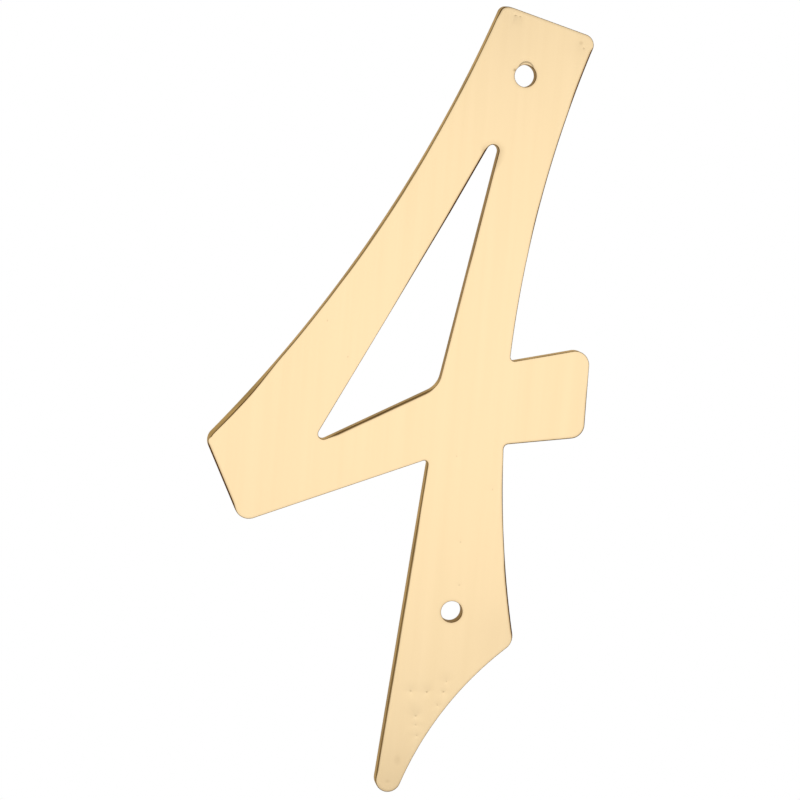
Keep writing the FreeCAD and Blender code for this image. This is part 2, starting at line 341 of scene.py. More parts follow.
@dataclass(frozen=True)
class MillBrass:
    """The back, left as the rolling mill made it: flatter in colour, matt and lightly stained.

    Attributes:
        colour, stain: the clean and the stained metal's colours.
        stain_size_mm: size of a stain.
        stain_from, stain_full: noise at which a stain starts, and at which it is full.
        roll_line_mm, roll_line_length_mm: width and length of the lines that the rolls leave.
        roughness_swing: how far these lines change the roughness either way.
    """

    colour: str = "D9BC84"
    stain: str = "B99A62"
    roughness: float = 0.46
    roughness_swing: float = 0.06
    stain_size_mm: float = 14.0
    stain_from: float = 0.42
    stain_full: float = 0.68
    roll_line_mm: float = 0.5
    roll_line_length_mm: float = 125.0

    def material(self) -> bpy.types.Material:
        """Build the mill finish on Object coordinates.

        Returns:
            The material.
        """
        material, tree = new_material("mill_brass_back")
        place = add_node(tree, "ShaderNodeTexCoord").outputs["Object"]
        cloud = add_node(tree, "ShaderNodeTexNoise", {
            "Vector": place, "Scale": 1 / (self.stain_size_mm * MM), "Detail": 4.0}).outputs["Fac"]
        lines = add_node(tree, "ShaderNodeMapping", {
            "Vector": place, "Scale": (1 / (self.roll_line_mm * MM), 1.0,
                                       1 / (self.roll_line_length_mm * MM))})
        line = add_node(tree, "ShaderNodeTexNoise", {
            "Vector": lines.outputs[0], "Scale": 1.0, "Detail": 2.0}).outputs["Fac"]
        share = add_node(tree, "ShaderNodeMapRange", {
            "Value": cloud, "From Min": self.stain_from, "From Max": self.stain_full}).outputs[0]
        colour = add_node(tree, "ShaderNodeMix", {
            "Factor": share, MIX_FIRST: srgb(self.colour), MIX_SECOND: srgb(self.stain)},
            data_type="RGBA").outputs[MIX_RESULT]
        rough = add_node(tree, "ShaderNodeMapRange", {
            "Value": line, "From Min": 0.3, "From Max": 0.7,
            "To Min": self.roughness - self.roughness_swing,
            "To Max": self.roughness + self.roughness_swing}).outputs[0]
        brass = add_node(tree, "ShaderNodeBsdfPrincipled", {
            "Base Color": colour, "Metallic": 1.0, "Roughness": rough})
        add_node(tree, "ShaderNodeOutputMaterial", {"Surface": brass.outputs[0]})
        return material


@dataclass(frozen=True)
class Rim:
    """Closed line around the plate or its counter, walked with the metal on the right.

    Attributes:
        points: places on the line, n x 2, as X and Z.
        normals: unit directions out of the metal, n x 2.
        run: length walked to each point and back to the first, n + 1.
    """

    points: np.ndarray
    normals: np.ndarray
    run: np.ndarray

    @classmethod
    def through(cls, corners: np.ndarray, step: float) -> "Rim":
        """Draw the smooth line through the corners of a line that was cut into chords.

        Neighbouring chords of one length were cut from one arc, whose bend for each is the turn
        between them. At a smooth joint the line turns by half the bend on either side, which
        gives the bend of a chord beside an arc: nothing where it is a straight edge.

        Args:
            corners: the chords' ends, n x 2, without the first one again.
            step: the longest spacing of the new points.

        Returns:
            The line with a point at least every step.
        """
        chords = np.roll(corners, -1, axis=0) - corners
        lengths = np.hypot(*chords.T)
        headings = np.arctan2(chords[:, 1], chords[:, 0])
        turns = np.roll(headings, -1) - headings
        turns = (turns + math.pi) % (2 * math.pi) - math.pi
        alike = np.abs(np.roll(lengths, -1) / lengths - 1) < SAME_ARC
        known = alike | np.roll(alike, 1)
        bends = np.where(alike, turns, np.where(np.roll(alike, 1), np.roll(turns, 1), 0.0))
        after = 2 * turns - np.roll(bends, -1)
        before = 2 * np.roll(turns, 1) - np.roll(bends, 1)
        lone = np.where(np.roll(known, -1), after, np.where(np.roll(known, 1), before, 0.0))
        bends = np.where(known, bends, lone)
        bends = np.where(np.abs(bends) < STRAIGHT, STRAIGHT, bends)
        counts = np.ceil(lengths / step).astype(int)
        which = np.repeat(np.arange(len(counts)), counts)
        passed = np.repeat(np.cumsum(counts) - counts, counts)
        share = (np.arange(counts.sum()) - passed) / counts[which]
        bend = bends[which]
        size = lengths[which] / (2 * np.sin(bend / 2))
        ahead = size * (np.sin(bend * (share - 0.5)) + np.sin(bend / 2))
        aside = size * (np.cos(bend / 2) - np.cos(bend * (share - 0.5)))
        unit = chords[which] / lengths[which][:, None]
        points = corners[which] + unit * ahead[:, None] + unit[:, ::-1] * [-1, 1] * aside[:, None]
        heading = headings[which] + bend * (share - 0.5)
        normals = np.stack([-np.sin(heading), np.cos(heading)], axis=1)
        return cls(points, normals, cls._walked(points))

    @classmethod
    def circle(cls, centre: np.ndarray, radius: float, count: int, metal_outside: bool) -> "Rim":
        """Draw a circle, anticlockwise with the metal outside it or clockwise with it inside.

        Args:
            centre: its centre, as X and Z.
            radius: its radius.
            count: how many points it has.
            metal_outside: whether it bounds a hole, or else a piece of the face.

        Returns:
            The circle.
        """
        angle = np.arange(count) * 2 * math.pi / count * (1 if metal_outside else -1)
        ring = np.stack([np.cos(angle), np.sin(angle)], axis=1)
        points = centre + radius * ring
        return cls(points, -ring if metal_outside else ring, cls._walked(points))

    @staticmethod
    def _walked(points: np.ndarray) -> np.ndarray:
        """Length walked to each point, and to the first again."""
        steps = np.hypot(*(np.roll(points, -1, axis=0) - points).T)
        return np.concatenate([[0.0], np.cumsum(steps)])


def back_edges(node: bpy.types.Object) -> list[np.ndarray]:
    """Read the closed lines that bound a node's flat back, the longest first.

    Args:
        node: a CAD node whose back lies at its greatest Y.

    Returns:
        For each line its corners, n x 2, walked with the metal on the right as the front shows it.
    """
    mesh = node.data
    mesh.calc_loop_triangles()
    corners = np.empty(len(mesh.vertices) * 3)
    mesh.vertices.foreach_get("co", corners)
    corners = corners.reshape(-1, 3)
    triangles = np.empty(len(mesh.loop_triangles) * 3, dtype=np.int64)
    mesh.loop_triangles.foreach_get("vertices", triangles)
    triangles = triangles.reshape(-1, 3)
    weld = 1e-3 * MM
    on_back = np.all(corners[triangles][:, :, 1] > corners[:, 1].max() - weld, axis=1)
    keys = np.round(corners[:, [0, 2]] / weld).astype(np.int64)
    _, firsts, ids = np.unique(keys, axis=0, return_index=True, return_inverse=True)
    sides = ids.reshape(-1)[triangles[on_back]]
    sides = np.concatenate([sides[:, [0, 1]], sides[:, [1, 2]], sides[:, [2, 0]]])
    forth = sides[:, 0] * len(firsts) + sides[:, 1]
    back = sides[:, 1] * len(firsts) + sides[:, 0]
    following = dict(sides[~np.isin(forth, back)].tolist())
    lines = []
    while following:
        start, spot = following.popitem()
        line = [start]
        while spot != start:
            line.append(spot)
            spot = following.pop(spot)
        lines.append(corners[firsts[line]][:, [0, 2]])
    lines.sort(key=lambda line: np.ptp(line, axis=0).sum(), reverse=True)
    return lines


@dataclass(frozen=True)
class WornStretch:
    """Stretch of the rim that was polished down further, in millimetres.

    Attributes:
        start, end: where it starts and ends, as X and Z, walked with the metal on the right.
        fade_in, fade_out: how far it runs out before its start and after its end.
        lean: how far the wall's front end falls in.
        roll: extra radius of the rolled corner.
        shoulder: extra width of the soft slope inside the corner.
        droop: extra depth of that slope at the corner.
        tarnish_and_shade: how much darker its wall and its corner are painted, from 0 to 1.
        line: how much darker than that the corner alone is painted, as painted shade of its rolled
            corner turning from the light, on top of tarnish.
    """

    start: tuple[float, float]
    end: tuple[float, float]
    fade_in: float
    fade_out: float
    lean: float = 0.0
    roll: float = 0.0
    shoulder: float = 0.0
    droop: float = 0.0
    tarnish_and_shade: float = 0.0
    line: float = 0.0

    def weight(self, rim: Rim) -> np.ndarray:
        """Work out how much of the wear each point of a rim has.

        The share is 1 on the stretch and falls to 0 on a cosine beside it.

        Args:
            rim: the line that the stretch is part of.

        Returns:
            The share at each point.
        """
        first, last = (int(np.argmin(np.hypot(*(rim.points - np.array(place) * MM).T)))
                       for place in (self.start, self.end))
        length = rim.run[-1]
        ahead = (rim.run[:-1] - rim.run[first]) % length
        past = ahead - (rim.run[last] - rim.run[first]) % length
        short = length - ahead
        gap = np.minimum(past / (self.fade_out * MM), short / (self.fade_in * MM))
        return 0.5 + 0.5 * np.cos(math.pi * np.clip(gap, 0, 1))


@dataclass(frozen=True)
class RimProfile:
    """Section of the plate's rim: back corner, wall, rolled front corner and soft shoulder.

    Attributes:
        thickness: the plate's, from the frame.
        back_round_mm: radius of the back corner.
        roll_mm: radius of the rolled front corner where no stretch adds to it.
        shoulder_mm, droop_mm: width and depth of the slope inside it.
        flat_mm: width of the flat strip that ends the section.
        line: how dark the front corner is painted, from 0 to 1: painted shade of the roll turning
            from the light, on top of tarnish.
        fade: share of that painted darkening which the shoulder starts with.
        back_steps, wall_steps, roll_steps, shoulder_steps: rows that each part is drawn with.
    """

    thickness: float
    back_round_mm: float = 0.13
    roll_mm: float = 0.13
    shoulder_mm: float = 0.45
    droop_mm: float = 0.012
    line: float = 0.2
    flat_mm: float = 0.12
    back_steps: int = 5
    wall_steps: int = 7
    roll_steps: int = 10
    shoulder_steps: int = 6
    fade: float = 0.35

    def grid(self, rim: Rim, worn: tuple[WornStretch, ...]
             ) -> tuple[np.ndarray, np.ndarray, np.ndarray, list[Zone]]:
        """Carry the section along a rim.

        A point of the section is so far in from the rim and so deep from the back. The back
        corner is a quarter circle, the wall a straight line that leans in, the roll a quarter
        circle, and the shoulder a parabola that ends level with the face.

        Args:
            rim: the line that the section is carried along.
            worn: where it is worn further.

        Returns:
            The points, rows x n x 3, their tarnish, rows x n, which holds the corner's painted
            shade too, each row's place across the edge (the wall from 0 to a half, the roll from a
            half to 1) and the zone of each strip between two rows.
        """
        weights = [stretch.weight(rim) for stretch in worn]
        lean, roll, shoulder, droop = (
            (base + sum(getattr(one, name) * share for one, share in zip(worn, weights))) * MM
            for name, base in (("lean", 0.0), ("roll", self.roll_mm),
                               ("shoulder", self.shoulder_mm), ("droop", self.droop_mm)))
        blunt = self.back_round_mm * MM
        angle = np.linspace(0, math.pi / 2, self.back_steps + 1)[:, None]
        none = np.zeros(len(rim.points))
        inset = [blunt * (1 - np.sin(angle)) + none]
        depth = [blunt * (1 - np.cos(angle)) + none]
        top = self.thickness - droop - roll
        share = np.linspace(0, 1, self.wall_steps + 1)[1:, None]
        inset.append(lean * share)
        depth.append(blunt + (top - blunt) * share)
        angle = np.linspace(0, math.pi / 2, self.roll_steps + 1)[1:, None]
        inset.append(lean + roll * (1 - np.cos(angle)))
        depth.append(top + roll * np.sin(angle))
        share = np.linspace(0, 1, self.shoulder_steps + 1)[1:, None]
        inset.append(lean + roll + shoulder * share)
        depth.append(self.thickness - droop * (1 - share) ** 2)
        inset.append(inset[-1][-1:] + self.flat_mm * MM)
        depth.append(depth[-1][-1:])
        inset = np.concatenate(inset)
        depth = np.concatenate(depth)
        flat = rim.points - rim.normals * inset[:, :, None]
        points = np.stack([flat[:, :, 0], -depth, flat[:, :, 1]], axis=2)
        wall = self.back_steps + self.wall_steps
        flat_share = np.linspace(0, 1, self.shoulder_steps + 1)
        across = np.concatenate([
            np.linspace(0, 0.5, wall + 1), np.linspace(0.5, 1, self.roll_steps + 1)[1:],
            np.ones(self.shoulder_steps + 1)])
        zones = [Zone.EDGE] * (wall + self.roll_steps)
        zones += [Zone.FACE] * (len(points) - 1 - len(zones))
        # The wall's darkening, then the corner's dark line: painted shade of the roll turning from
        # the light, on top of tarnish, fading out across the shoulder
        dark = sum(one.tarnish_and_shade * share for one, share in zip(worn, weights))
        line = self.line + dark + sum(one.line * share for one, share in zip(worn, weights))
        fade = np.concatenate([
            np.ones(self.roll_steps - 1), self.fade * (1 - flat_share) ** 2, [0.0]])
        tarnish_and_shade = np.concatenate([dark + np.zeros((wall + 1, 1)), line * fade[:, None]])
        return points, np.clip(tarnish_and_shade, 0, 1), across, zones


@dataclass(frozen=True)
class OffCentreCut:
    """Shallow cone that a deburring tool cut beside a hole's axis, in millimetres.

    Attributes:
        right, up: the cone's axis, from the hole's.
        radius, floor_radius, depth: the cone's radius at the face and on its floor, and its depth.
        ring_radii, ring_width, ring_depth: the faint rings that the tool left around it.
        tarnish_and_shade: how much darker the cone is painted, from 0 to 1.
        right_share, left_gain: share of that on its right, and what its left adds to it.
        notch: where the cut ends in a small dark notch, from the hole's axis.
        notch_radius, notch_darkness: the notch's size, and how much darker it is painted.
    """

    right: float = 0.12
    up: float = 1.2
    radius: float = 1.6
    floor_radius: float = 1.3
    depth: float = 0.2
    ring_radii: tuple[float, ...] = (1.9, 2.25)
    ring_width: float = 0.09
    ring_depth: float = 0.008
    tarnish_and_shade: float = 0.14
    right_share: float = 0.6
    left_gain: float = 0.8
    notch: tuple[float, float] = (-2.05, 1.1)
    notch_radius: float = 0.3
    notch_darkness: float = 0.6

    def depths(self, offset: np.ndarray) -> np.ndarray:
        """Depth of the cut, and of the faint rings around it, at places given from the hole's axis.

        The cone is as deep as its radius is left, on a straight slope. A ring is a narrow bell.

        Args:
            offset: places, ... x 2, in metres.

        Returns:
            The depths below the face, in metres.
        """
        reach = np.hypot(offset[..., 0] / MM - self.right, offset[..., 1] / MM - self.up)
        slope = self.depth / (self.radius - self.floor_radius)
        cone = np.clip((self.radius - reach) * slope, 0, self.depth)
        above = np.clip((offset[..., 1] / MM - self.up) / reach, 0, 1)
        rings = sum(np.exp(-((reach - ring) / self.ring_width) ** 2) for ring in self.ring_radii)
        return (cone + self.ring_depth * rings * above) * MM

    def stain(self, offset: np.ndarray) -> np.ndarray:
        """How much darker the cut is painted, more on its left, and the notch where it ends.

        Args:
            offset: places from the hole's axis, ... x 2, in metres.

        Returns:
            How much darker each place is painted, from 0 to 1.
        """
        across = offset[..., 0] / MM - self.right
        reach = np.hypot(across, offset[..., 1] / MM - self.up)
        within = np.clip((self.radius - reach) / (self.radius - self.floor_radius), 0, 1)
        left = np.clip(0.5 - across / (2 * self.radius), 0, 1)
        away = np.hypot(*(np.moveaxis(offset, -1, 0) / MM - np.reshape(self.notch, (2, 1, 1))))
        cone = self.tarnish_and_shade * within * (self.right_share + self.left_gain * left)
        return cone + self.notch_darkness * np.exp(-(away / self.notch_radius) ** 2)


@dataclass(frozen=True)
class ScrewHole:
    """Plain round hole, with the skin of the plate's front around its mouth.

    Attributes:
        centre: place of its axis, X and Z.
        radius: radius of its wall.
        cut: the off-centre cut on its mouth, if it has one.
        tarnish, line, halo: how much darker the wall, the corner and the face beside it are
        painted; the corner's line and the halo beside it are painted shade of the rolled mouth, on
        top of tarnish.
        roll_mm, back_round_mm: radii of the front and the back corner.
        collar_mm: width of the ring of the face that is made with the hole.
        shade_halo_mm: distance in which the halo falls to about a third.
        lip_share: share of the roll that is finished as cut edge.
        count, wall_steps, collar_steps: points around the hole, and rows of its wall and collar.
    """

    centre: np.ndarray
    radius: float
    cut: OffCentreCut | None = None
    tarnish_and_shade: float = 0.6
    line: float = 1.0
    shade_halo: float = 0.35
    roll_mm: float = 0.06
    collar_mm: float = 2.6
    shade_halo_mm: float = 0.16
    back_round_mm: float = 0.08
    lip_share: float = 0.5
    count: int = 160
    wall_steps: int = 6
    collar_steps: int = 34

    def grid(self, thickness: float) -> tuple[Rim, np.ndarray, np.ndarray, np.ndarray, list[Zone]]:
        """Work out the wall and the collar of the front that surrounds it.

        The collar widens outwards from the wall on a square law, so its rows are close together
        at the mouth. Its depth is that of the rolled corner or of the cut, whichever is more.

        Args:
            thickness: the plate's thickness.

        Returns:
            The wall's rim, the points, their tarnish with the mouth's painted shade, each row's
            place across the edge, and the strips' zones.
        """
        rim = Rim.circle(self.centre, self.radius, self.count, metal_outside=True)
        share = np.linspace(0, 1, self.collar_steps + 1)[:, None]
        inset = self.collar_mm * MM * share ** 2 + np.zeros(self.count)
        flat = rim.points - rim.normals * inset[:, :, None]
        roll = self.roll_mm * MM
        left = np.clip(roll - inset, 0, roll)
        sunk = roll - np.sqrt(roll ** 2 - left ** 2)
        # The mouth's dark line and the halo beside it: painted shade of its rolled corner
        shade_halo = self.shade_halo * np.exp((roll - inset) / (self.shade_halo_mm * MM))
        stain = np.where(inset < roll, self.line, shade_halo)
        if self.cut:
            sunk = np.maximum(sunk, self.cut.depths(flat - self.centre))
            stain = np.maximum(stain, self.cut.stain(flat - self.centre))
        blunt = self.back_round_mm * MM
        wall = np.linspace(0, 1, self.wall_steps + 1)[:-1, None]
        wall_depth = blunt + (thickness - sunk[0] - blunt) * wall
        none = np.zeros(self.count)
        inset = np.concatenate([blunt + none[None], wall * none, inset])
        depth = np.concatenate([none[None], wall_depth, thickness - sunk])
        wall_stain = np.full((self.wall_steps + 1, self.count), self.tarnish_and_shade)
        tarnish_and_shade = np.concatenate([wall_stain, stain])
        flat = rim.points - rim.normals * inset[:, :, None]
        points = np.stack([flat[:, :, 0], -depth, flat[:, :, 1]], axis=2)
        rows = len(points)
        lip = int(np.sum(share[:, 0] ** 2 * self.collar_mm < self.roll_mm * self.lip_share))
        across = np.concatenate([
            np.linspace(0, 0.5, self.wall_steps + 1), np.linspace(0.5, 1, lip + 1)[1:],
            np.ones(rows - self.wall_steps - 1 - lip)])
        zones = [Zone.EDGE] * (self.wall_steps + lip)
        zones += [Zone.FACE] * (rows - 1 - len(zones))
        return rim, points, tarnish_and_shade, across, zones


@dataclass(frozen=True)
class PaintedShadePatch:
    """Patch of painted shade on the face, in millimetres: a bell that is darkest in its middle.

    Attributes:
        x, z: its middle.
        wide, high: how far from there it falls to about a third, sideways and upwards.
        strength: how dark its middle is painted, from 0 to 1.
    """

    x: float
    z: float
    wide: float
    high: float
    strength: float

    def at(self, places: np.ndarray) -> np.ndarray:
        """Tarnish at places, n x 2, in metres."""
        away = (places / MM - [self.x, self.z]) / [self.wide, self.high]
        return self.strength * np.exp(-(away ** 2).sum(axis=1))


@dataclass(frozen=True)
class Dent:
    """Small nick in the face, in millimetres: a bowl that is steepest halfway out.

    Attributes:
        x, z: its middle.
        radius, depth: its size across, and how deep its middle is.
        stretch: its size up and down over that across.
        tarnish_and_shade: how dark its middle has gone, from 0 to 1.
        count, steps: points around it, and rows from its edge to its middle.
    """

    x: float
    z: float
    radius: float
    depth: float
    stretch: float = 1.0
    tarnish_and_shade: float = 0.15
    count: int = 20
    steps: int = 6

    def grid(self, thickness: float) -> tuple[np.ndarray, np.ndarray]:
        """Work out the bowl from its edge to just short of its middle.

        Its depth is that of its middle times the square of one less the square of the share of
        the radius. The stretch makes it longer up and down than across.

        Args:
            thickness: the plate's thickness.

        Returns:
            The bowl's points, rows x n x 3, and their tarnish, rows x n.
        """
        centre = np.array([self.x, self.z]) * MM
        rim = Rim.circle(centre, self.radius * MM, self.count, metal_outside=False)
        share = np.linspace(1, 0, self.steps + 1)[:-1, None]
        away = (rim.points - centre) * np.array([1.0, self.stretch])
        flat = centre + away * share[:, :, None]
        sunk = self.depth * MM * (1 - share ** 2) ** 2 + np.zeros(self.count)
        bowl = np.stack([flat[:, :, 0], sunk - thickness, flat[:, :, 1]], axis=2)
        return bowl, self.tarnish_and_shade * (1 - share ** 2) ** 2 + np.zeros(self.count)


@dataclass
class Skin:
    """The plate's surface as it is put together, in blocks.

    Attributes:
        vertices, tarnish: the points, and how dark the metal is painted at each, by tarnish and by
        painted shade.
        faces, zones, maps: the faces, the zone of each, and the map's value at its corners.
    """

    vertices: list[np.ndarray] = field(default_factory=list)
    tarnish_and_shade: list[np.ndarray] = field(default_factory=list)
    faces: list[np.ndarray] = field(default_factory=list)
    zones: list[np.ndarray] = field(default_factory=list)
    maps: list[np.ndarray] = field(default_factory=list)

    def add_vertices(self, points: np.ndarray, tarnish_and_shade: np.ndarray | float = 0.0) -> np.ndarray:
        """Take points, and how dark each is painted by tarnish and painted shade.

        Args:
            points: the points, ... x 3.
            tarnish_and_shade: how dark the metal is painted at each, or at all of them, by tarnish
                and painted shade.

        Returns:
            The vertices' numbers, in the same arrangement.
        """
        first = sum(len(block) for block in self.vertices)
        self.vertices.append(points.reshape(-1, 3))
        self.tarnish_and_shade.append(np.zeros(points.shape[:-1]).ravel() + np.ravel(tarnish_and_shade))
        return first + np.arange(points.size // 3).reshape(points.shape[:-1])

    def add_faces(self, faces: np.ndarray, zones: np.ndarray,
                  spots: np.ndarray | None = None) -> None:
        """Take faces, their zones and their map.

        Args:
            faces: the vertices' numbers of each face.
            zones: the zone of each face.
            spots: the map's value at each corner, or None where it is its X and Z.
        """
        if spots is None:
            points = np.concatenate(self.vertices)[faces]
            spots = points[..., [0, 2]]
        self.faces.append(faces)
        self.zones.append(zones)
        self.maps.append(spots)

    def add_band(self, points: np.ndarray, tarnish_and_shade: np.ndarray | float, run: np.ndarray,
                 across: np.ndarray, zones: list[Zone]) -> np.ndarray:
        """Close a grid around its rim, and return the numbers of its vertices.

        Args:
            points: rows x n x 3, from the back to the front and inwards.
            tarnish_and_shade: how dark the metal is painted at each, by tarnish and painted shade.
            run: length walked to each column, n + 1.
            across: each row's place across the edge.
            zones: the zone of each strip between two rows.

        Returns:
            The vertices' numbers, rows x n.
        """
        ids = self.add_vertices(points, tarnish_and_shade)
        rows, count = ids.shape
        after = np.roll(ids, -1, axis=1)
        quads = np.stack([ids[:-1], ids[1:], after[1:], after[:-1]], axis=2)
        near = np.broadcast_to(run[:-1], (rows - 1, count))
        far = np.broadcast_to(run[1:], (rows - 1, count))
        low = np.broadcast_to(across[:-1, None], (rows - 1, count))
        high = np.broadcast_to(across[1:, None], (rows - 1, count))
        edge_map = np.stack([np.stack([near, low], -1), np.stack([near, high], -1),
                             np.stack([far, high], -1), np.stack([far, low], -1)], axis=2)
        face_map = np.concatenate(self.vertices)[quads][..., [0, 2]]
        strip = np.array(zones)[:, None] * np.ones(count, dtype=int)
        maps = np.where((strip == Zone.EDGE)[..., None, None], edge_map, face_map)
        self.add_faces(quads.reshape(-1, 4), strip.reshape(-1), maps.reshape(-1, 4, 2))
        return ids

    def add_bowl(self, points: np.ndarray, tarnish_and_shade: np.ndarray) -> np.ndarray:
        """Add a bowl's rows, and close its middle with a fan.

        Args:
            points: the bowl's points, rows x n x 3, from its edge inwards.
            tarnish_and_shade: how dark the metal is painted at each, by tarnish and painted shade.

        Returns:
            The vertices' numbers on its edge.
        """
        rows, count = points.shape[:2]
        run = np.arange(count + 1.0)
        ids = self.add_band(points, tarnish_and_shade, run, np.ones(rows), [Zone.FACE] * (rows - 1))
        step = points[-1].mean(axis=0) - points[-2].mean(axis=0)
        middle = self.add_vertices(points[-1].mean(axis=0)[None] + step / 2, tarnish_and_shade[-1, 0])[0]
        last = ids[-1]
        fan = np.stack([last, np.full(count, middle), np.roll(last, -1)], axis=1)
        self.add_faces(fan, np.full(count, Zone.FACE))
        return ids[0]

    def fill(self, rings: list[np.ndarray], spacing: float, front: bool) -> None:
        """Triangulate a flat face between closed rings, with a loose grid of points inside it.

        Args:
            rings: the vertices' numbers of each ring, the outline's first.
            spacing: distance between the grid's points.
            front: whether the face looks to the front, or else to the back.
        """
        known = np.concatenate(self.vertices)
        edge = np.concatenate(rings)
        flat = known[edge][:, [0, 2]]
        level = known[edge[0], 1]
        ends = np.concatenate([np.roll(ring, -1) for ring in rings])
        ahead = known[ends][:, [0, 2]]
        low, high = flat.min(axis=0), flat.max(axis=0)
        columns = np.arange(low[0], high[0], spacing)
        heights = np.arange(low[1], high[1], spacing * math.sqrt(0.75))
        across, up = np.meshgrid(columns, heights)
        across = across + (np.arange(len(heights)) % 2)[:, None] * spacing / 2
        spare = np.stack([across.ravel(), up.ravel()], axis=1)
        spare = spare[inside(spare, flat, ahead)]
        away = np.sqrt(((spare[:, None] - flat[None]) ** 2).sum(axis=2).min(axis=1))
        spare = spare[away > spacing * CLEAR_OF_EDGE]
        levels = np.full(len(spare), level)
        new = self.add_vertices(np.stack([spare[:, 0], levels, spare[:, 1]], axis=1))
        ids = np.concatenate([edge, new])
        places = np.concatenate([flat, spare])
        order = {number: place for place, number in enumerate(edge.tolist())}
        sides = [(order[a], order[b]) for a, b in zip(edge.tolist(), ends.tolist())]
        vectors = [Vector(place) for place in places.tolist()]
        kept, _, found, sources = delaunay_2d_cdt(vectors, sides, [], 1, SAME_POINT)[:4]
        if len(kept) != len(places):
            raise RuntimeError("the rings of a face cross")
        triangles = np.array([source[0] for source in sources])[np.array(found)]
        middles = places[triangles].mean(axis=1)
        triangles = triangles[inside(middles, flat, ahead)]
        turned = triangles if front else triangles[:, ::-1]
        zone = Zone.FACE if front else Zone.BACK
        self.add_faces(ids[turned], np.full(len(turned), zone))

    def stain(self, patches: tuple[PaintedShadePatch, ...], thickness: float) -> None:
        """Add the patches of painted shade to every vertex that lies near the front face.

        Args:
            patches: the patches.
            thickness: the plate's thickness.
        """
        for block, dark in zip(self.vertices, self.tarnish_and_shade):
            front = block[:, 1] < -FRONT_FROM * thickness
            dark += front * sum(patch.at(block[:, [0, 2]]) for patch in patches)

    def mesh(self, name: str) -> bpy.types.Mesh:
        """Write everything into a mesh.

        Args:
            name: the mesh's name.

        Returns:
            The mesh, with each face's finish, each vertex's tarnish and painted shade, and each
            corner's map value.
        """
        points = np.concatenate(self.vertices)
        sizes = np.concatenate([np.full(len(block), block.shape[1]) for block in self.faces])
        corners = np.concatenate([block.ravel() for block in self.faces])
        mesh = bpy.data.meshes.new(name)
        mesh.vertices.add(len(points))
        mesh.vertices.foreach_set("co", points.ravel())
        mesh.loops.add(len(corners))
        mesh.loops.foreach_set("vertex_index", corners.astype(np.int32))
        mesh.polygons.add(len(sizes))
        mesh.polygons.foreach_set("loop_start", (np.cumsum(sizes) - sizes).astype(np.int32))
        mesh.polygons.foreach_set("material_index", np.concatenate(self.zones).astype(np.int32))
        mesh.polygons.foreach_set("use_smooth", np.ones(len(sizes), dtype=bool))
        stain = mesh.attributes.new("tarnish_and_shade", "FLOAT", "POINT")
        stain.data.foreach_set("value", np.concatenate(self.tarnish_and_shade).astype(np.float32))
        layer = mesh.uv_layers.new(name="grain")
        layer.data.foreach_set("uv", np.concatenate([block.reshape(-1) for block in self.maps]))
        mesh.update()
        mesh.validate()
        return mesh


def inside(places: np.ndarray, starts: np.ndarray, ends: np.ndarray) -> np.ndarray:
    """Tell which places lie between closed rings.

    Those are the places with an odd number of sides to their right.

    Args:
        places: the places, m x 2.
        starts: where each side starts, n x 2.
        ends: where each side ends, n x 2.

    Returns:
        True for each place in the metal.
    """
    up = places[:, None, 1]
    crosses = (starts[None, :, 1] > up) != (ends[None, :, 1] > up)
    rise = ends[:, 1] - starts[:, 1]
    rise = np.where(rise == 0, 1.0, rise)
    where = starts[:, 0] + (up - starts[:, 1]) * (ends[:, 0] - starts[:, 0]) / rise
    return np.sum(crosses & (where > places[:, None, 0]), axis=1) % 2 == 1


